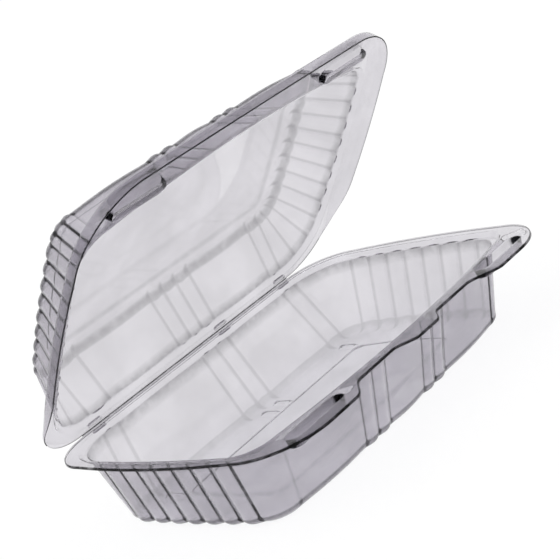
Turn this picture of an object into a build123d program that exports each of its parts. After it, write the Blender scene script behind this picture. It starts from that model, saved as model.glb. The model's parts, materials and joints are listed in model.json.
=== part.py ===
# Hinged clear food pack: a fluted tray and a fluted lid formed from one plastic sheet,
# joined along a fold at the back and held shut by two bar snaps in the front corners.
from build123d import *
import os
import math

os.makedirs("parts", exist_ok=True)

# Sheet and running clearances
sheet = 0.5                # thickness of the formed sheet
fold_gap = 0.3             # clear gap left between the two edges at the fold
rest_gap = 0.2             # gap between the two flanges when the pack is shut
skirt_play = 2.0           # room between the tray flange and the lid's skirt
snap_play = 0.4            # side play of a snap bar in its socket

# Overall plan, seen from above with the fold along y = 0 and the front toward -y
rim_half = 111.0           # half width of the tray flange, at its corners
side_bow = 3.0             # how far the flange sides bow outward at mid length
tab_reach = 168.0          # fold to the front edge of the corner snap tabs
tab_stand = 11.0           # how far the snap tabs stand out from the plain front edge
tab_slope = 13.0           # sideways run of the edge from a tab back to the plain edge
pull_stand = 7.8           # how far the middle finger tab stands out
pull_half = 9.0            # half width of the finger tab at its edge
pull_slope = 8.0           # sideways run from the finger tab back to the plain edge
hinge_corner = 28.0        # flange corner radius beside the fold
front_corner = 34.0        # flange corner radius at the front
edge_blend = 6.0           # radius where the tabs and the plain edge meet
front_plain = tab_reach - tab_stand
pull_reach = front_plain + pull_stand

# Mouth, the line where the flange turns into the walls
end_rim = 9.0              # flange left outside the mouth at the ends
fold_rim = 9.5             # beside the fold
front_rim = 28.0           # and at the front, measured to the edge of the tabs
mouth_bow = 7.0            # outward bow of the front wall at the mouth
end_bow = 1.5              # outward bow of the end walls
ledge = 3.0                # flat seat just inside the flange
seat_step = 2.5            # height from the flange down to the seat
mouth_half = rim_half - end_rim
mouth_back = fold_rim
mouth_front = tab_reach - front_rim

# Snaps, one in each front corner
bar_from_side = 36.0       # flange corner to the middle of a bar
bar_from_mouth = 15.0
bar_long = 37.0
bar_wide = 9.0
socket_deep = 4.2
bar_drop = 3.8             # how far a bar stands below the lid flange
tab_past_bar = 17.0        # middle of a bar to the inner end of its tab
bar_from_middle = rim_half - bar_from_side
bar_from_fold = mouth_front + bar_from_mouth
tab_inner = bar_from_middle - tab_past_bar

# Tray
tray_height = 42.0         # table to the top of the flange
tray_end_lean = 7.5        # how far in the end walls lean on their way to the floor
tray_back_lean = 10.0
tray_front_lean = 10.0
floor_bow = 3.0
tray_back_corner = 24.0    # mouth corner radius beside the fold
tray_front_corner = 17.0
floor_back_corner = 10.0
floor_front_corner = 13.5
foot_round = 4.5           # size of the curve between wall and floor
push_up = 1.8              # the middle of floor and top stand up by this much
floor_margin = 22.0        # from the foot of the walls to the raised middle
floor_half = mouth_half - tray_end_lean
floor_back = mouth_back + tray_back_lean
floor_front = mouth_front - tray_front_lean

# Lid, measured from its own flange
lid_depth = 29.0
lid_end_lean = 8.5
lid_back_lean = 15.0
lid_front_lean = 7.0
top_bow = 3.0
lid_back_corner = 24.6
lid_front_corner = 12.0
top_back_corner = 12.5
top_front_corner = 11.5
top_margin = 10.0          # from the top of the walls to the raised middle
skirt_drop = 5.5           # depth of the turned edge round the lid
skirt_draft = 4.0          # degrees the turned edge leans outward
skirt_bow = 0.5            # how far its front bows outward
skirt_start = 31.0         # the turned edge begins this far from the fold
lid_open = 45.0            # degrees the lid stands open
panel_corner = 7.0         # corner radius of both raised middles
top_half = mouth_half - lid_end_lean
top_back = mouth_back + lid_back_lean
top_front = mouth_front - lid_front_lean

# Flutes and panels in the walls, as places of the grooves between them
flute_rise = 2.0           # how far a flute swells out between two grooves
flute_span = 12.0          # the span at which it swells that far
panel_rise = 1.2           # the same for a wide plain panel
wide = 18.0                # a span longer than this is a plain panel
tray_end_flutes = 7
lid_end_flutes = 8
lid_back_corner_flutes = 3
front_grooves = (-35.0, -25.0, -15.0, 15.0, 25.0, 35.0)
tray_outer_groove = 35.0   # outer back grooves of the tray, in from the ends of its mouth
lid_left_groove = 40.0     # and those of the lid
lid_right_groove = 34.0
tray_back_grooves = (tray_outer_groove - mouth_half, -2.5, 8.5, 18.5, mouth_half - tray_outer_groove)
lid_back_grooves = (lid_left_groove - mouth_half, -9.0, 0.5, 10.0, 20.0, mouth_half - lid_right_groove)

# Small stiffening beads: beside the fold, and along the floor from the back wall
bead_long = 9.0
bead_wide = 2.6
bead_rise = 1.0
left_bead = 28.0           # outer beads beside the fold, in from the ends of the mouth
right_bead = 26.0
floor_bead = 29.0          # outer beads of the floor, in from the ends of the mouth
fold_beads = (left_bead - mouth_half, 24.0, mouth_half - right_bead)
floor_beads = (floor_bead - mouth_half, 3.0, 13.5, mouth_half - floor_bead)
floor_bead_wide = 5.0


def side(start, end, marks, bow):
    """One wall line, anticlockwise: an outward arc between each two groove marks."""
    run = end - start
    out = Vector(run.Y, -run.X).normalized()
    spots = [start + run * m + out * (4 * bow * m * (1 - m)) for m in marks]
    for a, b in zip(spots[:-1], spots[1:]):
        span = (b - a).length
        rise = panel_rise if span > wide else flute_rise * span / flute_span
        ThreePointArc(a, (a + b) * 0.5 + out * rise, b)


def corner(centre, radius, turn, count=1):
    """A rounded corner, anticlockwise from the given angle, plain or split into flutes."""
    step = 90 / count
    swell = flute_rise / 2 if count > 1 else 0
    for n in range(count):
        a, m, b = (math.radians(turn + step * (n + f)) for f in (0, 0.5, 1))
        ThreePointArc(
            centre + Vector(math.cos(a), math.sin(a)) * radius,
            centre + Vector(math.cos(m), math.sin(m)) * (radius + swell),
            centre + Vector(math.cos(b), math.sin(b)) * radius,
        )


def marks(grooves, span_half, way):
    """Groove places turned into fractions of a side walked in the given way along x."""
    return [0] + sorted((span_half + way * x) / (2 * span_half) for x in grooves) + [1]


def ring(shape, style, inset):
    """Closed wall outline at one level; inset moves every side inward by that much."""
    half, back, front, rb, rf, bow = shape
    half, back, front, rb, rf = half - inset, back + inset, front - inset, rb - inset, rf - inset
    ends, backs, fronts, split = style
    side(Vector(half, rf - front), Vector(half, -back - rb), ends, end_bow)
    corner(Vector(half - rb, -back - rb), rb, 0, split)
    side(Vector(half - rb, -back), Vector(rb - half, -back), backs, 0)
    corner(Vector(rb - half, -back - rb), rb, 90, split)
    side(Vector(-half, -back - rb), Vector(-half, rf - front), ends, end_bow)
    corner(Vector(rf - half, rf - front), rf, 180)
    side(Vector(rf - half, -front), Vector(half - rf, -front), fronts, bow)
    corner(Vector(half - rf, rf - front), rf, 270)


def smooth(half, back, front, rb, rf, bow_end, bow_front):
    """Closed outline with rounded corners and gently bowed ends and front."""
    right = (half, -back - rb), (half + bow_end, -(back + front) / 2), (half, rf - front)
    face = (rf - half, -front), (0, -front - bow_front), (half - rf, -front)
    ThreePointArc(*right)
    corner(Vector(half - rf, rf - front), rf, 270)
    ThreePointArc(*face)
    corner(Vector(rf - half, rf - front), rf, 180)
    ThreePointArc(*[(-x, y) for x, y in right])
    corner(Vector(rb - half, -back - rb), rb, 90)
    Line((rb - half, -back), (half - rb, -back))
    corner(Vector(half - rb, -back - rb), rb, 0)


def mix(mouth, foot, k):
    return [a + (b - a) * k for a, b in zip(mouth, foot)]


# Half width, back, front, the two corner radii and the front bow of each outline
tray_mouth = [mouth_half, mouth_back, mouth_front, tray_back_corner, tray_front_corner, mouth_bow]
tray_foot = [floor_half, floor_back, floor_front, floor_back_corner, floor_front_corner, floor_bow]
lid_mouth = [mouth_half, mouth_back, mouth_front, lid_back_corner, lid_front_corner, mouth_bow]
lid_foot = [top_half, top_back, top_front, top_back_corner, top_front_corner, top_bow]
tray_style = ([n / tray_end_flutes for n in range(tray_end_flutes + 1)],
              marks(tray_back_grooves, mouth_half - tray_back_corner, -1),
              marks(front_grooves, mouth_half - tray_front_corner, 1), 1)
lid_style = ([n / lid_end_flutes for n in range(lid_end_flutes + 1)],
             marks(lid_back_grooves, mouth_half - lid_back_corner, -1),
             marks(front_grooves, mouth_half - lid_front_corner, 1), lid_back_corner_flutes)
across = sheet * 1.1       # sheet measured level through a sloping wall


def seat_outline(grow):
    smooth(mouth_half + grow, mouth_back - grow, mouth_front + grow,
           min(tray_back_corner, lid_back_corner) + grow,
           min(tray_front_corner, lid_front_corner) + grow, end_bow, mouth_bow)


def panel_outline(foot, inset):
    smooth(foot[0] - inset, foot[1] + inset, foot[2] - inset, panel_corner, panel_corner,
           end_bow, foot[5])


def lid_outline(grow):
    skirt_off = skirt_play + sheet + grow
    smooth(rim_half + skirt_off, fold_gap / 2, tab_reach + skirt_off,
           hinge_corner + skirt_off, front_corner + skirt_off, side_bow, skirt_bow)


def ridge(length, width, grow, spots, turn=0):
    with Locations(*spots):
        SlotOverall(length + 2 * grow, width + 2 * grow, rotation=turn)


seat_z = tray_height - seat_step
bead_line = -fold_gap - bead_wide
bead_spots = [(x, bead_line) for x in fold_beads]
floor_bead_long = floor_margin - foot_round - 2 * sheet
floor_bead_line = -floor_back - (floor_margin + foot_round) / 2
floor_bead_spots = [(x, floor_bead_line) for x in floor_beads]
snap_spots = [(-bar_from_middle, -bar_from_fold), (bar_from_middle, -bar_from_fold)]

with BuildPart() as base_tray:
    # Flange with a snap tab in each front corner and a finger tab in the middle
    with BuildSketch(Plane.XY.offset(tray_height - sheet)) as flange:
        with BuildLine():
            Line((0, -fold_gap / 2), (rim_half - hinge_corner, -fold_gap / 2))
            corner(Vector(rim_half - hinge_corner, -fold_gap / 2 - hinge_corner), hinge_corner, 0)
            ThreePointArc((rim_half, -fold_gap / 2 - hinge_corner),
                          (rim_half + side_bow, -tab_reach / 2),
                          (rim_half, front_corner - tab_reach))
            corner(Vector(rim_half - front_corner, front_corner - tab_reach), front_corner, 270)
            Polyline((rim_half - front_corner, -tab_reach), (tab_inner, -tab_reach),
                     (tab_inner - tab_slope, -front_plain), (pull_half + pull_slope, -front_plain),
                     (pull_half, -pull_reach), (0, -pull_reach))
            mirror(about=Plane.YZ)
        make_face()
        edge_points = [(tab_inner, tab_reach), (tab_inner - tab_slope, front_plain),
                       (pull_half + pull_slope, front_plain), (pull_half, pull_reach)]
        spots = [(flip * x, -y, tray_height - sheet) for x, y in edge_points for flip in (-1, 1)]
        fillet([flange.vertices().sort_by_distance(spot)[0] for spot in spots], edge_blend)
    extrude(amount=sheet)
    # Seat, walls and floor as one block, hollowed from above
    with BuildSketch(Plane.XY.offset(seat_z - sheet)):
        with BuildLine():
            seat_outline(ledge + sheet)
        make_face()
    extrude(amount=seat_step + sheet / 2)
    for z, k, inset in [(seat_z - sheet / 2, 0, 0), (foot_round, 1, 0),
                        (foot_round * 0.3, 1, foot_round * 0.3), (0, 1, foot_round)]:
        with BuildSketch(Plane.XY.offset(z)):
            with BuildLine():
                ring(mix(tray_mouth, tray_foot, k), tray_style, inset)
            make_face()
    loft(ruled=True)
    with BuildSketch(Plane.XY.offset(seat_z)):
        with BuildLine():
            seat_outline(ledge)
        make_face()
    extrude(amount=seat_step + sheet, mode=Mode.SUBTRACT)
    for z, k, inset in [(seat_z + sheet, 0, across), (foot_round, 1, across),
                        (foot_round * 0.3 + sheet, 1, foot_round * 0.3 + across),
                        (sheet, 1, foot_round + sheet)]:
        with BuildSketch(Plane.XY.offset(z)):
            with BuildLine():
                ring(mix(tray_mouth, tray_foot, k), tray_style, inset)
            make_face()
    loft(ruled=True, mode=Mode.SUBTRACT)
    # Raised middle of the floor
    with BuildSketch(Plane.XY):
        with BuildLine():
            panel_outline(tray_foot, floor_margin)
        make_face()
    extrude(amount=push_up + sheet)
    with BuildSketch(Plane.XY):
        with BuildLine():
            panel_outline(tray_foot, floor_margin + sheet)
        make_face()
    extrude(amount=push_up, mode=Mode.SUBTRACT)
    # Short ridges that run from the back wall onto the floor
    with BuildSketch(Plane.XY):
        ridge(floor_bead_long, floor_bead_wide, sheet, floor_bead_spots, 90)
    extrude(amount=bead_rise + sheet)
    with BuildSketch(Plane.XY):
        ridge(floor_bead_long, floor_bead_wide, 0, floor_bead_spots, 90)
    extrude(amount=bead_rise, mode=Mode.SUBTRACT)
    # Sockets for the snap bars
    with BuildSketch(Plane.XY.offset(tray_height - socket_deep - sheet)):
        ridge(bar_long, bar_wide, sheet, snap_spots)
    extrude(amount=socket_deep)
    with BuildSketch(Plane.XY.offset(tray_height - socket_deep)):
        ridge(bar_long, bar_wide, 0, snap_spots)
    extrude(amount=socket_deep + sheet, mode=Mode.SUBTRACT)
    # Stiffening beads beside the fold
    with BuildSketch(Plane.XY.offset(tray_height - bead_rise - sheet)):
        ridge(bead_long, bead_wide, sheet, bead_spots)
    extrude(amount=bead_rise)
    with BuildSketch(Plane.XY.offset(tray_height - bead_rise)):
        ridge(bead_long, bead_wide, 0, bead_spots)
    extrude(amount=bead_rise + sheet, mode=Mode.SUBTRACT)

# The lid is drawn in its own frame, hung on the fold and tipped up by lid_open
tip = math.radians(lid_open)
fold = Plane(origin=(0, 0, tray_height + rest_gap / 2), x_dir=(1, 0, 0),
             z_dir=(0, math.sin(tip), math.cos(tip)))
under = rest_gap / 2
flare = (skirt_drop + sheet) * math.tan(math.radians(skirt_draft))
seat_h = under + seat_step

with BuildPart() as lid:
    # Flange with its turned edge, open at the fold
    for h, grow in [(under - skirt_drop, flare), (under + sheet, 0)]:
        with BuildSketch(fold.offset(h)):
            with BuildLine():
                lid_outline(grow)
            make_face()
    loft(ruled=True)
    for h, grow in [(under - skirt_drop, flare - sheet), (under, -sheet)]:
        with BuildSketch(fold.offset(h)):
            with BuildLine():
                lid_outline(grow)
            make_face()
    loft(ruled=True, mode=Mode.SUBTRACT)
    with Locations(fold.offset(under - skirt_drop)):
        Box(4 * rim_half, 2 * skirt_start, skirt_drop, mode=Mode.SUBTRACT,
            align=(Align.CENTER, Align.CENTER, Align.MIN))
    # Seat, walls and top as one block, hollowed from below
    with BuildSketch(fold.offset(under + sheet / 2)):
        with BuildLine():
            seat_outline(ledge + sheet)
        make_face()
    extrude(amount=seat_step + sheet / 2)
    for h, k, inset in [(seat_h + sheet / 2, 0, 0), (lid_depth - foot_round, 1, 0),
                        (lid_depth - foot_round * 0.3, 1, foot_round * 0.3), (lid_depth, 1, foot_round)]:
        with BuildSketch(fold.offset(h)):
            with BuildLine():
                ring(mix(lid_mouth, lid_foot, k), lid_style, inset)
            make_face()
    loft(ruled=True)
    with BuildSketch(fold.offset(under - sheet)):
        with BuildLine():
            seat_outline(ledge)
        make_face()
    extrude(amount=seat_step + sheet, mode=Mode.SUBTRACT)
    for h, k, inset in [(seat_h - sheet, 0, across), (lid_depth - foot_round, 1, across),
                        (lid_depth - foot_round * 0.3 - sheet, 1, foot_round * 0.3 + across),
                        (lid_depth - sheet, 1, foot_round + sheet)]:
        with BuildSketch(fold.offset(h)):
            with BuildLine():
                ring(mix(lid_mouth, lid_foot, k), lid_style, inset)
            make_face()
    loft(ruled=True, mode=Mode.SUBTRACT)
    # Raised middle of the top, which locates a pack stacked on it
    with BuildSketch(fold.offset(lid_depth - sheet)):
        with BuildLine():
            panel_outline(lid_foot, top_margin)
        make_face()
    extrude(amount=push_up + sheet)
    with BuildSketch(fold.offset(lid_depth - sheet)):
        with BuildLine():
            panel_outline(lid_foot, top_margin + sheet)
        make_face()
    extrude(amount=push_up, mode=Mode.SUBTRACT)
    # Hollow bars that press into the sockets
    with BuildSketch(fold.offset(under + sheet - bar_drop)):
        ridge(bar_long, bar_wide, -snap_play, snap_spots)
    extrude(amount=bar_drop)
    with BuildSketch(fold.offset(under + 2 * sheet - bar_drop)):
        ridge(bar_long, bar_wide, -snap_play - sheet, snap_spots)
    extrude(amount=bar_drop, mode=Mode.SUBTRACT)
    # Stiffening beads beside the fold, pressed the other way from the tray's
    with BuildSketch(fold.offset(under)):
        ridge(bead_long, bead_wide, sheet, bead_spots)
    extrude(amount=bead_rise + sheet)
    with BuildSketch(fold.offset(under)):
        ridge(bead_long, bead_wide, 0, bead_spots)
    extrude(amount=bead_rise, mode=Mode.SUBTRACT)

# The origin is under the middle of the open pack, on the table
boxes = [base_tray.part.bounding_box(), lid.part.bounding_box()]
middle = (min(b.min.Y for b in boxes) + max(b.max.Y for b in boxes)) / 2
with BuildPart() as placed_tray:
    with Locations((0, -middle, 0)):
        add(base_tray.part)
with BuildPart() as placed_lid:
    with Locations((0, -middle, 0)):
        add(lid.part)
placed_tray.part.label = "base_tray"
placed_lid.part.label = "lid"
export_step(placed_tray.part, "parts/base_tray.step")
export_step(placed_lid.part, "parts/lid.step")
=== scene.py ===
import bpy
import bmesh
import json
import math
from collections import namedtuple
from mathutils import Matrix, Vector
from mathutils.geometry import delaunay_2d_cdt


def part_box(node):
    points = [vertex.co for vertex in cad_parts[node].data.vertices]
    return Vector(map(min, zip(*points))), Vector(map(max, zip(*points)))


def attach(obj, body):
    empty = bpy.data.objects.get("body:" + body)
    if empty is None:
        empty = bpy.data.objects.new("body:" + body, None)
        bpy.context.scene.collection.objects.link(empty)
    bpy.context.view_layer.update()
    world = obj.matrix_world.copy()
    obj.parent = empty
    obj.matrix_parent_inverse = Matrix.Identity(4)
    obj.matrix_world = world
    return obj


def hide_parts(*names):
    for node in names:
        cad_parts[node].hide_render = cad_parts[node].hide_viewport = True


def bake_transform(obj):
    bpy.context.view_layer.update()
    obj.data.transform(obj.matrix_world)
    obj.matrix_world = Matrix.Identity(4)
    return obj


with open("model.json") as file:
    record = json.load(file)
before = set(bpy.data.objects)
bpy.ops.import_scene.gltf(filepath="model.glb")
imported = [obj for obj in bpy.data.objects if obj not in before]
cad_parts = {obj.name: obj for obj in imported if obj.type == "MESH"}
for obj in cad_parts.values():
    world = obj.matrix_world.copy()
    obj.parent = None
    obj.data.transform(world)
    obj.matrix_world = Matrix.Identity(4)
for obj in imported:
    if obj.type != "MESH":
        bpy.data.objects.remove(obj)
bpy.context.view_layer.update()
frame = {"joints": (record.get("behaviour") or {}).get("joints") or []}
mm = 0.001

# Viewpoint. The pack is seen from its front left corner and a little above,
# with the camera rolled so that the long fold climbs across the picture.
eye = Vector((-451.2, -509.6, 255.4)) * mm
looked_at = Vector((-0.4, -5.4, 75.0)) * mm
roll = -24.7
lens_length = 94.15

camera_data = bpy.data.cameras.new("viewpoint")
camera_data.lens = lens_length
camera_data.sensor_width = 36
camera_data.clip_start = 0.01
camera = bpy.data.objects.new("viewpoint", camera_data)
bpy.context.scene.collection.objects.link(camera)
level_view = (looked_at - eye).to_track_quat("-Z", "Y").to_matrix().to_4x4()
camera.matrix_world = (Matrix.Translation(eye) @ level_view
                       @ Matrix.Rotation(math.radians(roll), 4, "Z"))
bpy.context.scene.camera = camera
bpy.context.scene.view_settings.view_transform = "Standard"

# White studio. A wide white table under a white surround, lit evenly by the surround
# and by one broad soft lamp that gives the pack its faint shadow.
table_half = 30.0
table_colour = (0.8, 0.8, 0.8, 1)
table_lift = 0.18
table_gap = 0.2 * mm
surround_light = 0.75
lamp_strength = 1.1
lamp_spread = 50
lamp_from = Vector((-0.9, 0.5, 1.6))


def add_node(tree, kind, inputs=None, **settings):
    """A new node whose inputs are given plain values or the outputs of other nodes."""
    node = tree.nodes.new(kind)
    for name, value in settings.items():
        setattr(node, name, value)
    for name, value in (inputs or {}).items():
        if isinstance(value, bpy.types.NodeSocket):
            tree.links.new(value, node.inputs[name])
        else:
            node.inputs[name].default_value = value
    return node


def maths(tree, operation, *values):
    """The result of one Math node on plain values or the outputs of other nodes."""
    node = add_node(tree, "ShaderNodeMath", dict(enumerate(values)), operation=operation)
    return node.outputs[0]


def new_material(name):
    """A material with no nodes in it yet."""
    material = bpy.data.materials.new(name)
    material.use_nodes = True
    material.node_tree.nodes.clear()
    return material


def seen_directly(tree):
    """1 for rays that look at a white surface, in reflections and through clear sheet too."""
    path = add_node(tree, "ShaderNodeLightPath").outputs
    mirrored = maths(tree, "MAXIMUM", path["Is Camera Ray"], path["Is Glossy Ray"])
    return maths(tree, "MAXIMUM", mirrored, path["Is Transmission Ray"])


table_white = new_material("table_white")
tree = table_white.node_tree
matt = add_node(tree, "ShaderNodeBsdfDiffuse", {"Color": table_colour})
lift = maths(tree, "MULTIPLY", seen_directly(tree), table_lift)
glow = add_node(tree, "ShaderNodeEmission", {"Strength": lift})
both = add_node(tree, "ShaderNodeAddShader", {0: matt.outputs[0], 1: glow.outputs[0]})
add_node(tree, "ShaderNodeOutputMaterial", {"Surface": both.outputs[0]})

table_mesh = bpy.data.meshes.new("table")
corners = [(-table_half, -table_half, -table_gap), (table_half, -table_half, -table_gap),
           (table_half, table_half, -table_gap), (-table_half, table_half, -table_gap)]
table_mesh.from_pydata(corners, [], [(0, 1, 2, 3)])
table_mesh.materials.append(table_white)
table = bpy.data.objects.new("table", table_mesh)
bpy.context.scene.collection.objects.link(table)

world = bpy.data.worlds.new("white_surround")
world.use_nodes = True
bpy.context.scene.world = world
tree = world.node_tree
level = add_node(tree, "ShaderNodeMapRange",
                 {"Value": seen_directly(tree), "To Min": surround_light, "To Max": 1.0})
surround = tree.nodes["Background"]
surround.inputs["Color"].default_value = (1, 1, 1, 1)
tree.links.new(level.outputs["Result"], surround.inputs["Strength"])

lamp_data = bpy.data.lights.new("soft_lamp", "SUN")
lamp_data.energy = lamp_strength
lamp_data.angle = math.radians(lamp_spread)
lamp = bpy.data.objects.new("soft_lamp", lamp_data)
bpy.context.scene.collection.objects.link(lamp)
lamp.matrix_world = (Matrix.Translation(lamp_from)
                     @ (-lamp_from).to_track_quat("-Z", "Y").to_matrix().to_4x4())

# Tray. One deep tray drawn down from a clear plastic sheet by vacuum and cut out with
# a die: a flat rim with snap tabs, a sunk seat, fluted walls and a floor with a raised middle.
sheet = 0.5 * mm
flat_margin = 0.1 * mm
tray_low, tray_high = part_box("base_tray")
fold_line = Vector(frame["joints"][0]["pos_m"])
fold_gap = 2 * (fold_line.y - tray_high.y)
tray_height = tray_high.z

# The rim, with a snap tab at each front corner and a finger tab in the middle.
tab_reach = fold_line.y - tray_low.y
side_bow = 3 * mm
rim_half = tray_high.x - side_bow
hinge_corner = 28 * mm
front_corner = 34 * mm
tab_stand = 11 * mm
tab_inner = 58 * mm
tab_slope = 13 * mm
pull_stand = 7.8 * mm
pull_half = 9 * mm
pull_slope = 8 * mm
edge_ease = 2 * mm
lip_in = 0.2 * mm
lip_drop = 0.95 * mm
# How dark the painted shade is where the lip turns.
lip_turn_shade = 0.8
edge_band = 0.45 * mm
side_points = 40
front_points = 260

# The seat for the lid, the wall from its mouth down to its foot, and the raised floor.
ledge = 3.25 * mm
seat_step = 2.5 * mm
seat_front_corner = 12 * mm
seat_back_corner = 24 * mm
seat_run = 2.2 * mm
mouth_half = rim_half - 9 * mm
mouth_back = 9.5 * mm
mouth_front = tab_reach - 28 * mm
mouth_bow = 7 * mm
end_bow = 1.5 * mm
mouth_round = 0.5 * mm
mouth_turn = 76
tray_mouth_back_corner = 24 * mm
tray_mouth_front_corner = 17 * mm
tray_end_lean = 7.5 * mm
tray_back_lean = 10 * mm
tray_front_lean = 10 * mm
tray_foot_back_corner = 10 * mm
tray_foot_front_corner = 13.5 * mm
foot_bow = 3 * mm
foot_round = 4.5 * mm
push_up = 1.8 * mm
panel_corner = 7 * mm
panel_run = 2.8 * mm
panel_start = -0.4 * mm
floor_margin = 22 * mm
panel_points = 24
mouth_rows = 4
wall_rows = 6
foot_rows = 6

# The flutes, and the grooves between them.
flute_rise = 2 * mm
flute_span = 12 * mm
panel_rise = 1.2 * mm
plain_over = 18 * mm
column_width = 0.85 * mm
fewest_columns = 8
plain_back_corner = 20
plain_front_corner = 14
groove_softness = 0.22
tray_end_flutes = 7
front_grooves = [x * mm for x in (-35, -25, -15, 15, 25, 35)]
tray_back_grooves = [x * mm for x in (-67, -2.5, 8.5, 18.5, 67)]

# The sockets for the lid's bars, and the stiffening beads beside the fold and in the floor.
bar_middle = rim_half - 36 * mm
bar_reach = mouth_front + 15 * mm
bar_long = 37 * mm
bar_wide = 9 * mm
socket_deep = 4.2 * mm
socket_run = 0.9 * mm
bead_long = 9 * mm
bead_wide = 2.6 * mm
bead_rise = 1 * mm
bead_run = 0.6 * mm
fold_bead_places = [x * mm for x in (-74, 24, 76)]
floor_bead_places = [x * mm for x in (-73, 3, 13.5, 73)]
floor_bead_wide = 5 * mm
floor_bead_long = floor_margin - foot_round - flute_rise - 2.4 * mm
floor_bead_run = 1.2 * mm

# How dark a line of painted shade each place gets, standing in for the dark that refraction gives
# clear sheet where it is folded or cut.
groove_side = 0.3
front_groove_share = 0.5
corner_groove_share = 0.2
mouth_crease = 0.4
foot_shade_line = 0.42
tray_foot_crease = 0.1
panel_crease = 0.18
bead_crease = 0.3
socket_crease = 0.06
socket_tip = 3.0
tip_sharpness = 4

# A plan is an outline seen from above: half its width, its reach from the fold to its back and
# to its front, the radii of its corners and the bow of its front. A column is one place along a
# wall and in its flute, and a point is one corner of a row. Their mark is how dark a line of
# painted shade is there.
Plan = namedtuple("Plan", "half back front back_corner front_corner bow")
Column = namedtuple("Column", "along phase rise mark")
Point = namedtuple("Point", "spot phase rise mark outward")

tray_mouth = Plan(mouth_half, mouth_back, mouth_front,
                  tray_mouth_back_corner, tray_mouth_front_corner, mouth_bow)
tray_foot = Plan(mouth_half - tray_end_lean, mouth_back + tray_back_lean,
                 mouth_front - tray_front_lean,
                 tray_foot_back_corner, tray_foot_front_corner, foot_bow)
seat_plan = Plan(mouth_half, mouth_back, mouth_front,
                 seat_back_corner, seat_front_corner, mouth_bow)


def spans(marks, length):
    """Columns of one stretch of wall, with a groove at each mark and a flute from mark to mark."""
    columns = []
    for a, b in zip(marks[:-1], marks[1:]):
        wide = (b - a) * length
        rise = panel_rise if wide > plain_over else flute_rise * wide / flute_span
        count = max(fewest_columns, round(wide / column_width))
        shades = [1.0, groove_side] + [0.0] * (count - 3) + [groove_side]
        for n, shade in enumerate(shades):
            columns.append(Column(a + (b - a) * n / count, n / count, rise, shade))
    return columns


def corner_columns(radius, flutes, plain_count):
    """The columns of one corner: low flutes, or one plain curve with a groove at its start."""
    if not flutes:
        shades = [1.0] + [0.0] * (plain_count - 1)
        return [Column(n / plain_count, 0, 0, shade) for n, shade in enumerate(shades)]
    marks = [n / flutes for n in range(flutes + 1)]
    return [column._replace(rise=flute_rise / 2) for column in spans(marks, radius * math.pi / 2)]


def wall_columns(mouth, end_flutes, back_grooves, back_corner_flutes, front_corner_flutes):
    """The columns of the eight stretches of a wall: end, corner, back, corner and round again."""
    back_half = mouth.half - mouth.back_corner
    front_half = mouth.half - mouth.front_corner
    end_length = mouth.front - mouth.back - mouth.back_corner - mouth.front_corner
    end_marks = [n / end_flutes for n in range(end_flutes + 1)]
    back_marks = [0] + sorted((back_half - x) / (2 * back_half) for x in back_grooves) + [1]
    front_marks = [0] + [(front_half + x) / (2 * front_half) for x in front_grooves] + [1]
    ends = spans(end_marks, end_length)
    backs = spans(back_marks, 2 * back_half)
    fronts = []
    for column in spans(front_marks, 2 * front_half):
        share = front_groove_share if column.along else corner_groove_share
        fronts.append(column._replace(mark=column.mark * share))
    back_turn = corner_columns(mouth.back_corner, back_corner_flutes, plain_back_corner)
    front_turn = corner_columns(mouth.front_corner, front_corner_flutes, plain_front_corner)
    return [ends, back_turn, backs, back_turn, ends, front_turn, fronts, front_turn]


def plain_columns(count):
    """Evenly spaced columns with no flutes, for the eight stretches of an outline."""
    return [[Column(n / count, 0, 0, 0) for n in range(count)] for stretch in range(8)]


def outline(plan, columns, inset=0, ends=end_bow):
    """Closed outline of a plan, anticlockwise from the front of the right-hand end."""
    half, back, front = plan.half - inset, plan.back + inset, plan.front - inset
    back_turn, front_turn = plan.back_corner - inset, plan.front_corner - inset
    stretches = [
        (Vector((half, front_turn - front)), Vector((half, -back - back_turn)), ends),
        (Vector((half - back_turn, -back - back_turn)), back_turn, 0),
        (Vector((half - back_turn, -back)), Vector((back_turn - half, -back)), 0),
        (Vector((back_turn - half, -back - back_turn)), back_turn, 90),
        (Vector((-half, -back - back_turn)), Vector((-half, front_turn - front)), ends),
        (Vector((front_turn - half, front_turn - front)), front_turn, 180),
        (Vector((front_turn - half, -front)), Vector((half - front_turn, -front)), plan.bow),
        (Vector((half - front_turn, front_turn - front)), front_turn, 270),
    ]
    points = []
    for stretch, stations in zip(stretches, columns):
        for station in stations:
            spot, outward = place_on(stretch, station.along)
            points.append(Point(spot, station.phase, station.rise, station.mark, outward))
    return points


def place_on(stretch, t):
    """A place on a bowed side, from start to end, or on a corner, from its centre and radius."""
    start, end, bulge = stretch
    if isinstance(end, Vector):
        run = end - start
        outward = Vector((run.y, -run.x)).normalized()
        return start + run * t + outward * (4 * bulge * t * (1 - t)), outward
    angle = math.radians(bulge + 90 * t)
    outward = Vector((math.cos(angle), math.sin(angle)))
    return start + outward * end, outward


def slot(x, y, long, wide, inset, turned=False, count=14):
    """Closed outline with round ends, for sockets, bars and beads, marked with painted shade at
    both tips.
    """
    radius = wide / 2 - inset
    reach = (long - wide) / 2
    points = []
    for side, centre in ((0, reach), (1, -reach)):
        for n in range(count + 1):
            angle = math.pi * (n / count - 0.5 + side)
            spot = Vector((centre + radius * math.cos(angle), radius * math.sin(angle)))
            if turned:
                spot = Vector((-spot.y, spot.x))
            tip = abs(math.cos(angle)) ** tip_sharpness
            points.append(Point(Vector((x, y)) + spot, 0, 0, tip, Vector((0, 0))))
    return points


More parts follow.
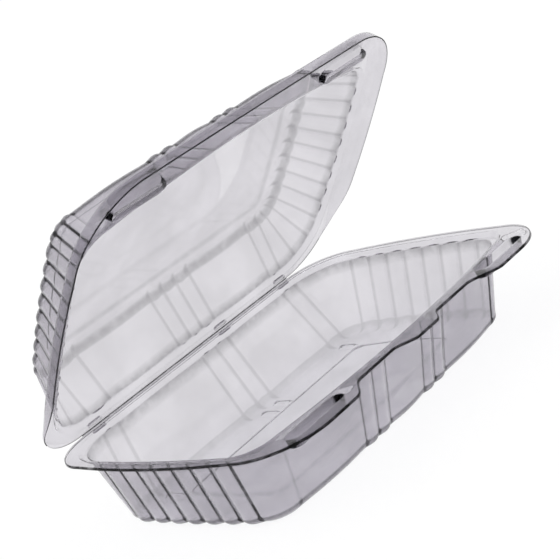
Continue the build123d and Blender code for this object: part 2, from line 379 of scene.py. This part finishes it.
class FormedSheet:
    """The middle surface of a drawn sheet: flat areas joined by drawn bands."""

    def __init__(self, up):
        self.up = up
        self.mesh = bmesh.new()
        self.phase = self.mesh.verts.layers.float.new("flute_phase")
        self.rise = self.mesh.verts.layers.float.new("flute_rise")
        self.groove = self.mesh.verts.layers.float.new("groove")
        self.crease = self.mesh.verts.layers.float.new("crease")
        self.rim = self.mesh.verts.layers.float.new("rim")
        self.outward = self.mesh.verts.layers.float_vector.new("flute_outward")

    def loop(self, points, depth, swell=0.0, crease=0.0, tip=0.0, cut=0.0, rim=0.0):
        """One closed row of points at a depth from the rim, with its marks of painted shade for
        the material.

        Swell is how much of its flutes and grooves a row has, and tip how dark the painted shade
        at the tips of a slot is. Crease, cut and rim are lines of painted shade added all along
        the row."""
        row = []
        for point in points:
            corner = self.mesh.verts.new((point.spot.x, point.spot.y, self.up * depth))
            corner[self.phase] = point.phase
            corner[self.rise] = point.rise * swell
            corner[self.groove] = point.mark * swell + cut
            corner[self.crease] = crease + point.mark * tip
            corner[self.rim] = rim
            corner[self.outward] = point.outward.to_3d()
            row.append(corner)
        return row

    def band(self, rows, closed=True):
        """Quads between rows that follow each other."""
        for upper, lower in zip(rows[:-1], rows[1:]):
            count = len(upper)
            for n in range(count if closed else count - 1):
                m = (n + 1) % count
                self.mesh.faces.new((upper[n], upper[m], lower[m], lower[n]))

    def flat(self, *loops):
        """A flat area bounded by an outer row, less the holes that the other rows bound."""
        corners, owners, edges = [], [], []
        for owner, row in enumerate(loops):
            first = len(corners)
            corners += row
            owners += [owner] * len(row)
            edges += [(first + n, first + (n + 1) % len(row)) for n in range(len(row))]
        within_edges = 1
        nearest = 1e-9
        spots = [corner.co.xy for corner in corners]
        filled = delaunay_2d_cdt(spots, edges, [], within_edges, nearest)
        triangles, origins = filled[2:4]
        for triangle in triangles:
            used = [origins[n][0] for n in triangle]
            in_hole = owners[used[0]] > 0 and len({owners[n] for n in used}) == 1
            if not in_hole:
                self.mesh.faces.new([corners[n] for n in used])

    def step(self, place, low, high, run, start=0.0, crease=0.0, tip=0.0, count=7):
        """Rows from one flat level to another in a soft S, with a flat margin at both ends."""
        rows = [self.loop(place(start - flat_margin), low)]
        for n in range(count + 1):
            t = n / count
            line = math.sin(math.pi * t)
            # Crease and tip paint a line of shade, darkest half way through the step.
            rows.append(self.loop(place(start + run * t), low + (high - low) * t * t * (3 - 2 * t),
                                  crease=crease * line, tip=tip * math.sqrt(line)))
        rows.append(self.loop(place(start + run + flat_margin), high))
        self.band(rows)
        return rows

    def pocket(self, x, y, long, wide, level, depth, run, turned=False, crease=0.0, tip=0.0):
        """A drawn pocket or bead; gives back the outer row and closes its own bottom."""
        rows = self.step(lambda inset: slot(x, y, long, wide, inset, turned),
                         level, level + depth, run, crease=crease, tip=tip)
        self.flat(rows[-1])
        return rows[0]

    def wall(self, mouth, foot, columns, seat_level, foot_level, foot_crease):
        """The fluted wall from the seat round its mouth, down, and round its foot."""
        def ring(share, inset, depth, swell=1.0, crease=0.0, cut=0.0):
            plan = Plan(*(a + (b - a) * share for a, b in zip(mouth, foot)))
            return self.loop(outline(plan, columns, inset), depth, swell, crease, cut=cut)

        top = seat_level + mouth_round
        bottom = foot_level - foot_round
        rows = [ring(0, -mouth_round - flat_margin, seat_level)]
        # Painted shade: creases along the mouth's and the foot's roundings, and a dark line round
        # the foot that is darkest next to the wall and fades out before the flat.
        for n in range(mouth_rows + 1):
            angle = math.radians(mouth_turn * n / mouth_rows)
            rows.append(ring(0, mouth_round * (math.sin(angle) - 1),
                             seat_level + mouth_round * (1 - math.cos(angle)),
                             crease=mouth_crease))
        for n in range(1, wall_rows + 1):
            share = n / wall_rows
            rows.append(ring(share, 0, top + (bottom - top) * share))
        for n in range(1, foot_rows + 1):
            angle = math.radians(90 * n / foot_rows)
            rows.append(ring(1, foot_round * (1 - math.cos(angle)),
                             bottom + foot_round * math.sin(angle),
                             crease=foot_crease * math.sin(2 * angle),
                             cut=foot_shade_line * (foot_rows - n) / (foot_rows - 1)))
        rows.append(ring(1, foot_round + flat_margin, foot_level))
        rows.append(ring(1, foot_round + flute_rise, foot_level, swell=0))
        self.band(rows)
        return rows[0], rows[-1]


def ease(t):
    """A soft S from 0 to 1."""
    t = min(max(t, 0.0), 1.0)
    return t * t * (3 - 2 * t)


def rim_outline():
    """Cut edge of the tray: bowed ends, round corners, and a front with its tabs."""
    columns = plain_columns(side_points)
    columns[6] = [Column(n / front_points, 0, 0, 0) for n in range(front_points)]
    plan = Plan(rim_half, fold_gap / 2, tab_reach, hinge_corner, front_corner, 0)
    points = outline(plan, columns, ends=side_bow)
    nearly = 0.01 * mm
    for point in points:
        on_front = point.spot.y < -tab_reach + nearly
        if on_front:
            x = abs(point.spot.x)
            tab = ease((x - tab_inner + tab_slope + edge_ease) / (tab_slope + 2 * edge_ease))
            pull = ease((pull_half + pull_slope + edge_ease - x) / (pull_slope + 2 * edge_ease))
            point.spot.y = -tab_reach + tab_stand * (1 - tab) - pull_stand * pull
    return points


def set_in(points, distance):
    """The same outline moved inward by a small distance."""
    moved = []
    for n, point in enumerate(points):
        along = points[(n + 1) % len(points)].spot - points[n - 1].spot
        inward = Vector((-along.y, along.x)).normalized()
        moved.append(point._replace(spot=point.spot + inward * distance))
    return moved


def press_flutes():
    """Geometry nodes that swell the walls outward between grooves, then set the material."""
    tree = bpy.data.node_groups.new("press_flutes", "GeometryNodeTree")
    for name, kind in (("Geometry", "NodeSocketGeometry"), ("Swell", "NodeSocketFloat"),
                       ("Groove Softness", "NodeSocketFloat"), ("Sheet", "NodeSocketMaterial")):
        tree.interface.new_socket(name, in_out="INPUT", socket_type=kind)
    tree.interface.new_socket("Geometry", in_out="OUTPUT", socket_type="NodeSocketGeometry")
    given = add_node(tree, "NodeGroupInput").outputs

    def named(name, kind):
        return add_node(tree, "GeometryNodeInputNamedAttribute", {"Name": name},
                        data_type=kind).outputs["Attribute"]

    softness = maths(tree, "POWER", given["Groove Softness"], 2.0)
    half_turn = maths(tree, "MULTIPLY", named("flute_phase", "FLOAT"), math.pi)
    wave = maths(tree, "POWER", maths(tree, "SINE", half_turn), 2.0)
    arch = maths(tree, "SQRT", maths(tree, "ADD", wave, softness))
    arch = maths(tree, "SUBTRACT", arch, given["Groove Softness"])
    crown = maths(tree, "SQRT", maths(tree, "ADD", softness, 1.0))
    crown = maths(tree, "SUBTRACT", crown, given["Groove Softness"])
    push = maths(tree, "DIVIDE", arch, crown)
    push = maths(tree, "MULTIPLY", push, named("flute_rise", "FLOAT"))
    push = maths(tree, "MULTIPLY", push, given["Swell"])
    along = add_node(tree, "ShaderNodeVectorMath",
                     {0: named("flute_outward", "FLOAT_VECTOR"), "Scale": push}, operation="SCALE")
    swollen = add_node(tree, "GeometryNodeSetPosition",
                       {"Geometry": given["Geometry"], "Offset": along.outputs[0]})
    whole = add_node(tree, "GeometryNodeRealizeInstances", {"Geometry": swollen.outputs[0]})
    finish = add_node(tree, "GeometryNodeSetMaterial",
                      {"Geometry": whole.outputs[0], "Material": given["Sheet"]})
    add_node(tree, "NodeGroupOutput", {"Geometry": finish.outputs[0]})
    return tree


flute_tree = press_flutes()


def finished_sheet(name, formed, place, outside, inside, edge):
    """Flutes and thickness given to a formed middle surface, as one plain mesh object."""
    inside_slot = 1
    edge_slot = 2
    bmesh.ops.recalc_face_normals(formed.mesh, faces=formed.mesh.faces)
    deepest = max(formed.mesh.faces, key=lambda face: formed.up * face.calc_center_median().z)
    if deepest.normal.z * formed.up < 0:
        bmesh.ops.reverse_faces(formed.mesh, faces=formed.mesh.faces)
    mesh = bpy.data.meshes.new(name)
    formed.mesh.to_mesh(mesh)
    formed.mesh.free()
    for material in (outside, inside, edge):
        mesh.materials.append(material)
    raw = bpy.data.objects.new(name + "_raw", mesh)
    bpy.context.scene.collection.objects.link(raw)
    flutes = raw.modifiers.new("flutes", "NODES")
    flutes.node_group = flute_tree
    inputs = [item for item in flute_tree.interface.items_tree if item.in_out == "INPUT"]
    socket = {item.name: item.identifier for item in inputs}
    flutes[socket["Swell"]] = 1.0
    flutes[socket["Groove Softness"]] = groove_softness
    flutes[socket["Sheet"]] = outside
    thick = raw.modifiers.new("sheet_thickness", "SOLIDIFY")
    thick.thickness = sheet
    thick.offset = 0
    thick.material_offset = inside_slot
    thick.material_offset_rim = edge_slot
    evaluated = raw.evaluated_get(bpy.context.evaluated_depsgraph_get())
    solid = bpy.data.meshes.new_from_object(evaluated)
    bpy.data.objects.remove(raw)
    solid.transform(place)
    solid.name = name
    for face in solid.polygons:
        face.use_smooth = face.material_index < edge_slot
    piece = bpy.data.objects.new(name, solid)
    bpy.context.scene.collection.objects.link(piece)
    return piece


def soft_range(tree, value, low, high, to_low=0.0, to_high=1.0):
    """A value carried from one range to another in a soft S."""
    ends = {"From Min": low, "From Max": high, "To Min": to_low, "To Max": to_high}
    node = add_node(tree, "ShaderNodeMapRange", {"Value": value, **ends},
                    interpolation_type="SMOOTHSTEP")
    return node.outputs["Result"]


def mixed(tree, factor, a, b):
    """One colour turned into another by a factor from 0 to 1."""
    node = add_node(tree, "ShaderNodeMix", {"Factor": factor, "A": a, "B": b}, data_type="RGBA")
    return node.outputs["Result"]


def formed_marks():
    """Shader group for formed clear sheet: its clouds, dark lines of painted shade, scuffs and
    ripples.
    """
    group = bpy.data.node_groups.new("formed_marks", "ShaderNodeTree")
    group.interface.new_socket("Clear Colour", in_out="INPUT", socket_type="NodeSocketColor")
    for name in ("Groove Shade", "Rim Shade", "Cloud Strength",
                 "Gloss Roughness", "Scuff Roughness"):
        group.interface.new_socket(name, in_out="INPUT", socket_type="NodeSocketFloat")
    group.interface.new_socket("Colour", in_out="OUTPUT", socket_type="NodeSocketColor")
    for name in ("Line", "Crease", "Roughness", "Height"):
        group.interface.new_socket(name, in_out="OUTPUT", socket_type="NodeSocketFloat")
    given = add_node(group, "NodeGroupInput").outputs
    place = add_node(group, "ShaderNodeTexCoord").outputs["Object"]

    def noise(vector, scale, detail, roughness):
        settings = {"Vector": vector, "Scale": scale, "Detail": detail, "Roughness": roughness}
        return add_node(group, "ShaderNodeTexNoise", settings).outputs["Fac"]

    def marked(name, full, depth):
        mark = add_node(group, "ShaderNodeAttribute", attribute_name=name).outputs["Fac"]
        return maths(group, "MULTIPLY", soft_range(group, mark, 0.0, full), given[depth])

    clouds = noise(place, scale=28, detail=3, roughness=0.5)
    clouds = soft_range(group, clouds, low=0.3, high=0.7)
    clouds = maths(group, "MULTIPLY", clouds, given["Cloud Strength"])
    dimmed = maths(group, "SUBTRACT", 1.0, clouds)
    cloudy = add_node(group, "ShaderNodeVectorMath",
                      {0: given["Clear Colour"], "Scale": dimmed}, operation="SCALE")

    patches = noise(place, scale=180, detail=2, roughness=0.6)
    # Painted shade: dark lines along the grooves, the rim and the creases, made uneven at random.
    grooved = marked("groove", full=0.6, depth="Groove Shade")
    rimmed = marked("rim", full=0.7, depth="Rim Shade")
    line = maths(group, "MAXIMUM", grooved, rimmed)
    uneven_shade = soft_range(group, patches, low=0.25, high=0.55, to_low=0.9)
    line = maths(group, "MULTIPLY", line, uneven_shade)
    crease = add_node(group, "ShaderNodeAttribute", attribute_name="crease").outputs["Fac"]
    uneven_shade = soft_range(group, patches, low=0.3, high=0.6, to_low=0.6)
    crease = maths(group, "MULTIPLY", crease, uneven_shade)

    rubbed = add_node(group, "ShaderNodeMapping",
                      {"Vector": place, "Scale": (1.0, 0.06, 1.0), "Rotation": (0.5, 0.3, 0.9)})
    scuffs = noise(rubbed.outputs["Vector"], scale=420, detail=5, roughness=0.7)
    scuffs = soft_range(group, scuffs, low=0.58, high=0.75)
    scuffs = maths(group, "MULTIPLY", scuffs, given["Scuff Roughness"])
    rough = maths(group, "ADD", given["Gloss Roughness"], scuffs)

    waves = noise(place, scale=45, detail=1, roughness=0.4)
    ripples = noise(place, scale=260, detail=2, roughness=0.5)
    ripples = maths(group, "MULTIPLY", ripples, fine_ripples)
    height = maths(group, "ADD", waves, ripples)
    add_node(group, "NodeGroupOutput", {"Colour": cloudy.outputs[0], "Line": line,
                                        "Crease": crease, "Roughness": rough, "Height": height})
    return group


# A thin sheet hardly bends what is seen through it, so its index stays near that of air.
# Its shine comes from a glossy coat, which is weaker where a groove or a crease is painted dark
# with shade.
# Its faint blue tint is the sheet's own; its grey is painted shade, standing in for the dimmer
# surroundings that clear sheet reflects.
sheet_colour = (0.725, 0.71, 0.745, 1)
sheet_ior = 1.04
sheet_shine = 0.6
groove_shine = 0.15
shine_roughness = 0.05
shine_ior = 1.45
cloud_strength = 0.12
gloss_roughness = 0.03
scuff_roughness = 0.12
fine_ripples = 0.05
ripple_strength = 0.25
ripple_depth = 0.6 * mm
# Painted shade: near-black lines in the grooves, along the rims and along the creases.
line_shade_colour = (0.002, 0.002, 0.002, 1)
crease_shade_colour = (0.008, 0.008, 0.01, 1)
# Painted shade: the colour turns darker where the sheet is seen nearly edge on.
edge_on_from = 0.76
edge_on_full = 0.95
edge_on_shade_dark = (0.02, 0.02, 0.022, 1)
edge_on_shade_soft = (0.5, 0.49, 0.52, 1)
shadow_tint = (0.975, 0.975, 0.98, 1)
marks_group = formed_marks()


def see_through(material, surface):
    """Lets nearly all light through to the table, so that clear sheet casts a faint shadow."""
    tree = material.node_tree
    path = add_node(tree, "ShaderNodeLightPath").outputs
    lighting = maths(tree, "MAXIMUM", path["Is Shadow Ray"], path["Is Diffuse Ray"])
    clear = add_node(tree, "ShaderNodeBsdfTransparent", {"Color": shadow_tint})
    passing = add_node(tree, "ShaderNodeMixShader",
                       {"Fac": lighting, 1: surface, 2: clear.outputs[0]})
    add_node(tree, "ShaderNodeOutputMaterial", {"Surface": passing.outputs[0]})


def clear_sheet(name, groove_shade, rim_shade, edge_on_shade):
    """Clear formed plastic: one face of the sheet, painted dimmer as shade where it is seen nearly
    edge on.

    Its grooves, rim and creases are painted as dark lines of shade; the groove and rim lines show
    only from the front of the face."""
    material = new_material(name)
    tree = material.node_tree
    marks = add_node(tree, "ShaderNodeGroup", {
        "Clear Colour": sheet_colour, "Groove Shade": groove_shade, "Rim Shade": rim_shade,
        "Cloud Strength": cloud_strength, "Gloss Roughness": gloss_roughness,
        "Scuff Roughness": scuff_roughness}, node_tree=marks_group).outputs
    backfacing = add_node(tree, "ShaderNodeNewGeometry").outputs["Backfacing"]
    in_front = add_node(tree, "ShaderNodeMapRange",
                        {"Value": backfacing, "To Min": 1.0, "To Max": 0.0})
    line = maths(tree, "MULTIPLY", marks["Line"], in_front.outputs["Result"])
    colour = mixed(tree, line, marks["Colour"], line_shade_colour)
    colour = mixed(tree, marks["Crease"], colour, crease_shade_colour)
    # Painted shade: the colour darkens where the face is seen nearly edge on.
    facing = add_node(tree, "ShaderNodeLayerWeight", {"Blend": 0.5}).outputs["Facing"]
    edge_on = soft_range(tree, facing, edge_on_from, edge_on_full)
    colour = mixed(tree, edge_on, colour, edge_on_shade)
    dulled = maths(tree, "MAXIMUM", line, marks["Crease"])
    shine = add_node(tree, "ShaderNodeMapRange",
                     {"Value": dulled, "To Min": sheet_shine, "To Max": groove_shine})
    ripples = add_node(tree, "ShaderNodeBump", {
        "Strength": ripple_strength, "Distance": ripple_depth, "Height": marks["Height"]})
    plastic = add_node(tree, "ShaderNodeBsdfPrincipled", {
        "Base Color": colour, "Roughness": marks["Roughness"], "Normal": ripples.outputs["Normal"],
        "Transmission Weight": 1.0, "IOR": sheet_ior, "Coat Weight": shine.outputs["Result"],
        "Coat Roughness": shine_roughness, "Coat IOR": shine_ior})
    see_through(material, plastic.outputs[0])
    return material


# Painted shade: outside faces show dark groove lines and turn dark edge on; inside faces show the
# dark rim line, fainter grooves and a softer edge-on shade.
tray_outside = clear_sheet("tray_outside", groove_shade=1.0, rim_shade=0.2,
                           edge_on_shade=edge_on_shade_dark)
tray_inside = clear_sheet("tray_inside", groove_shade=0.3, rim_shade=1.0,
                          edge_on_shade=edge_on_shade_soft)

# The edge left by the die, slightly rough and painted dark: painted shade for the dark that a
# clear cut edge shows. The lid has the same.
cut_shade_dark = (0.008, 0.008, 0.01, 1)
cut_shade_pale = (0.03, 0.03, 0.034, 1)
cut_edge = new_material("cut_edge")
tree = cut_edge.node_tree
place = add_node(tree, "ShaderNodeTexCoord").outputs["Object"]
nicks = add_node(tree, "ShaderNodeTexNoise",
                 {"Vector": place, "Scale": 700, "Detail": 3}).outputs["Fac"]
torn = add_node(tree, "ShaderNodeMapRange", {"Value": nicks, "To Min": 0.3, "To Max": 0.7})
uneven = add_node(tree, "ShaderNodeBump",
                  {"Strength": 0.3, "Distance": 0.2 * mm, "Height": nicks})
die_cut = add_node(tree, "ShaderNodeBsdfPrincipled", {
    "Base Color": mixed(tree, nicks, cut_shade_dark, cut_shade_pale), "Roughness": torn.outputs["Result"],
    "Normal": uneven.outputs["Normal"], "Specular IOR Level": 0.2})
see_through(cut_edge, die_cut.outputs[0])

tray = FormedSheet(up=-1)
rim_level = sheet / 2
seat_level = seat_step + sheet / 2
floor_level = tray_height - sheet / 2
rim_points = rim_outline()
# Painted shade: the cut row and the lip carry a dark line along the rim.
cut_row = tray.loop(set_in(rim_points, sheet / 2), rim_level + lip_drop, rim=1.0)
lip_row = tray.loop(set_in(rim_points, sheet / 2 + lip_in), rim_level, rim=lip_turn_shade)
rim_row = tray.loop(set_in(rim_points, sheet / 2 + lip_in + edge_band), rim_level)
tray.band([cut_row, lip_row, rim_row])

tray_columns = wall_columns(tray_mouth, tray_end_flutes, tray_back_grooves,
                            back_corner_flutes=0, front_corner_flutes=0)
seat_rows = tray.step(lambda inset: outline(seat_plan, tray_columns, inset - ledge),
                      rim_level, seat_level, seat_run, start=-seat_run / 2)
sockets = [tray.pocket(side * bar_middle, -bar_reach, bar_long + sheet, bar_wide + sheet,
                       rim_level, socket_deep, socket_run, crease=socket_crease, tip=socket_tip)
           for side in (-1, 1)]
beads = [tray.pocket(x, -fold_gap - bead_wide, bead_long + sheet, bead_wide + sheet,
                     rim_level, bead_rise, bead_run, crease=bead_crease)
         for x in fold_bead_places]
tray.flat(rim_row, seat_rows[0], *sockets, *beads)

mouth_row, foot_row = tray.wall(tray_mouth, tray_foot, tray_columns,
                                seat_level, floor_level, tray_foot_crease)
tray.band([seat_rows[-1], mouth_row])
floor_plan = Plan(tray_foot.half - floor_margin, tray_foot.back + floor_margin,
                  tray_foot.front - floor_margin, panel_corner, panel_corner, tray_foot.bow)
panel_rows = tray.step(lambda inset: outline(floor_plan, plain_columns(panel_points), inset),
                       floor_level, floor_level - push_up, panel_run, start=panel_start,
                       crease=panel_crease)
bead_line = -tray_foot.back - (floor_margin + foot_round + flute_rise) / 2
floor_beads = [tray.pocket(x, bead_line, floor_bead_long + sheet, floor_bead_wide + sheet,
                           floor_level, -bead_rise, floor_bead_run, turned=True)
               for x in floor_bead_places]
tray.flat(foot_row, panel_rows[0], *floor_beads)
tray.flat(panel_rows[-1])

tray_place = Matrix.Translation((0, fold_line.y, tray_height))
tray_sheet = finished_sheet("tray_sheet", tray, tray_place, tray_outside, tray_inside, cut_edge)
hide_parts("base_tray")
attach(tray_sheet, "tray")

# Lid. A shallower tray drawn up from the same sheet, hung on the fold, with an edge
# turned down over the tray's rim and two hollow bars that press into its sockets.
lid_open = math.radians(45)
rest_gap = 2 * (fold_line.z - tray_height)
lid_depth = 29 * mm
lid_end_lean = 8.5 * mm
lid_back_lean = 15.1 * mm
lid_front_lean = 9.5 * mm
lid_mouth_back_corner = 24.6 * mm
lid_mouth_front_corner = 12 * mm
lid_foot_back_corner = 12.5 * mm
lid_foot_front_corner = 11.5 * mm
lid_end_flutes = 8
lid_back_corner_flutes = 3
lid_front_corner_flutes = 3
lid_back_grooves = [x * mm for x in (-62, -9, 0.5, 10, 20, 68)]
# How dark the painted shade is along the creases round the lid's foot.
lid_foot_crease = 0.3
top_margin = 10 * mm
snap_play = 0.4 * mm
bar_drop = 3.8 * mm

# The turned edge: how far it stands outside the tray's rim, hangs down and leans outward.
skirt_off = 2 * mm + sheet
skirt_drop = 5.5 * mm
skirt_lean = 4
skirt_flare = (skirt_drop + sheet) * math.tan(math.radians(skirt_lean))
skirt_bow = 0.5 * mm
skirt_bend = 1.1 * mm
bend_rows = 5
skirt_start = -12 * mm
skirt_taper = 46 * mm
least_turned = 0.01
flange_band = 0.4 * mm
# How dark the painted shade is along the flat edge beside the fold.
edge_shade = 0.6

lid_mouth = Plan(mouth_half, mouth_back, mouth_front,
                 lid_mouth_back_corner, lid_mouth_front_corner, mouth_bow)
lid_foot = Plan(mouth_half - lid_end_lean, mouth_back + lid_back_lean,
                mouth_front - lid_front_lean,
                lid_foot_back_corner, lid_foot_front_corner, foot_bow)


def turned_share(y):
    """How far the edge is turned down: not beside the fold, then more and more along each end."""
    return ease((skirt_start - y) / skirt_taper)


def lid_edge(inset):
    """Outline of the lid's edge, inset by the share that the sheet is turned at each place."""
    plan = Plan(rim_half + skirt_off, fold_gap / 2, tab_reach + skirt_off,
                hinge_corner + skirt_off, front_corner + skirt_off, skirt_bow)
    points = []
    for point in outline(plan, plain_columns(side_points), ends=side_bow):
        moved = point.spot - point.outward * inset * turned_share(point.spot.y)
        points.append(point._replace(spot=moved))
    return points


def skirt_row(inset, depth, cut=0.0):
    """One row of the turned edge, which comes up to the flat edge beside the fold."""
    row = lid.loop(lid_edge(inset), lid_rim_level)
    for corner in row:
        share = turned_share(corner.co.y)
        corner.co.z += (depth - lid_rim_level) * share
        corner[lid.groove] = cut * share
    return row


lid = FormedSheet(up=1)
lid_rim_level = rest_gap / 2 + sheet / 2
lid_seat_level = lid_rim_level + seat_step
top_level = lid_depth - sheet / 2
flange_edge = lid_edge(skirt_bend + sheet / 2)
edge_row = lid.loop(flange_edge, lid_rim_level)
flange_row = lid.loop(set_in(flange_edge, flange_band), lid_rim_level)
# Painted shade: a dark line along the flat edge, fading where the edge turns down.
for corner in edge_row:
    corner[lid.rim] = edge_shade * (1 - turned_share(corner.co.y))
lid.band([edge_row, flange_row])

skirt_rows = [edge_row]
for n in range(1, bend_rows + 1):
    angle = math.radians(90 * n / bend_rows)
    skirt_rows.append(skirt_row(sheet / 2 + skirt_bend * (1 - math.sin(angle)),
                                lid_rim_level - skirt_bend * (1 - math.cos(angle))))

# Below its bend the turned edge hangs straight, and only its last row, the cut, is painted with a
# dark line of shade.
skirt_top = lid_rim_level - skirt_bend
skirt_foot = lid_rim_level - sheet / 2 - skirt_drop
for share, cut in ((0.5, 0.0), (0.85, 0.0), (1.0, 1.0)):
    skirt_rows.append(skirt_row(sheet / 2 - skirt_flare * share,
                                skirt_top * (1 - share) + skirt_foot * share, cut))

# Beside the fold nothing is turned, so the skirt runs from one end of that stretch to the other.
turned = [n for n, corner in enumerate(edge_row) if turned_share(corner.co.y) > least_turned]
first = next(n for n in turned if n - 1 not in turned and n > 0)
order = [(first + n) % len(edge_row) for n in range(len(turned))]
lid.band([[row[n] for n in order] for row in skirt_rows], closed=False)
unused = [row[n] for row in skirt_rows[1:] for n in range(len(row)) if n not in order]
bmesh.ops.delete(lid.mesh, geom=unused, context="VERTS")

lid_columns = wall_columns(lid_mouth, lid_end_flutes, lid_back_grooves,
                           lid_back_corner_flutes, lid_front_corner_flutes)
lid_seat_rows = lid.step(lambda inset: outline(seat_plan, lid_columns, inset - ledge),
                         lid_rim_level, lid_seat_level, seat_run, start=-seat_run / 2)
bars = [lid.pocket(side * bar_middle, -bar_reach, bar_long - 2 * snap_play - sheet,
                   bar_wide - 2 * snap_play - sheet, lid_rim_level, sheet - bar_drop,
                   socket_run, crease=socket_crease, tip=socket_tip)
        for side in (-1, 1)]
lid_beads = [lid.pocket(x, -fold_gap - bead_wide, bead_long + sheet, bead_wide + sheet,
                        lid_rim_level, bead_rise, bead_run, crease=bead_crease)
             for x in fold_bead_places]
lid.flat(flange_row, lid_seat_rows[0], *bars, *lid_beads)

lid_mouth_row, lid_foot_row = lid.wall(lid_mouth, lid_foot, lid_columns,
                                       lid_seat_level, top_level, lid_foot_crease)
lid.band([lid_seat_rows[-1], lid_mouth_row])
top_plan = Plan(lid_foot.half - top_margin, lid_foot.back + top_margin,
                lid_foot.front - top_margin, panel_corner, panel_corner, lid_foot.bow)
top_rows = lid.step(lambda inset: outline(top_plan, plain_columns(panel_points), inset),
                    top_level, top_level + push_up, panel_run, start=panel_start,
                    crease=panel_crease)
lid.flat(lid_foot_row, top_rows[0])
lid.flat(top_rows[-1])

# Painted shade, as on the tray: dark groove lines and edge-on shade outside, the dark rim line and
# softer shades inside.
lid_outside = clear_sheet("lid_outside", groove_shade=1.0, rim_shade=0.2,
                          edge_on_shade=edge_on_shade_dark)
lid_inside = clear_sheet("lid_inside", groove_shade=0.3, rim_shade=1.0,
                         edge_on_shade=edge_on_shade_soft)
hinge = Vector((0, fold_line.y, fold_line.z))
lid_place = Matrix.Translation(hinge) @ Matrix.Rotation(-lid_open, 4, "X")
lid_sheet = finished_sheet("lid_sheet", lid, lid_place, lid_outside, lid_inside, cut_edge)
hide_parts("lid")
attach(lid_sheet, "lid")

# Fold. The strip of sheet between tray and lid, creased hot along one straight line, which is
# the only hinge the pack has. Here it is one fixed strip between tray and lid as they stand.
crease_thick = 0.35 * mm
crease_steps = 8
crease_swell = 0.3 * mm
# How dark the painted shade is along the middle of the fold.
fold_shade = 0.9
crease_places = (-1, -0.5, 0, 0.5, 1)
crease_half = rim_half - hinge_corner
crease_outward = Vector((0, 0.5, -0.2)).normalized()
tray_end = Vector((0, tray_high.y, tray_height - sheet / 2))
lid_end = lid_place @ Vector((0, -fold_gap / 2, lid_rim_level))

crease = bmesh.new()
crease_shade = crease.verts.layers.float.new("crease")
rows = []
for n in range(crease_steps + 1):
    t = n / crease_steps
    spot = tray_end.lerp(lid_end, t) + crease_outward * (crease_swell * t * (1 - t))
    rows.append([crease.verts.new((x * crease_half, spot.y, spot.z)) for x in crease_places])
    for corner in rows[-1]:
        corner[crease_shade] = fold_shade * math.sin(math.pi * t)
for upper, lower in zip(rows[:-1], rows[1:]):
    for n in range(len(upper) - 1):
        crease.faces.new((upper[n], upper[n + 1], lower[n + 1], lower[n]))
crease_mesh = bpy.data.meshes.new("fold_crease")
crease.to_mesh(crease_mesh)
crease.free()
crease_mesh.materials.append(tray_inside)
crease_mesh.shade_smooth()
fold_crease = bpy.data.objects.new("fold_crease", crease_mesh)
bpy.context.scene.collection.objects.link(fold_crease)
film = fold_crease.modifiers.new("film", "SOLIDIFY")
film.thickness = crease_thick
film.offset = 0
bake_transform(fold_crease)
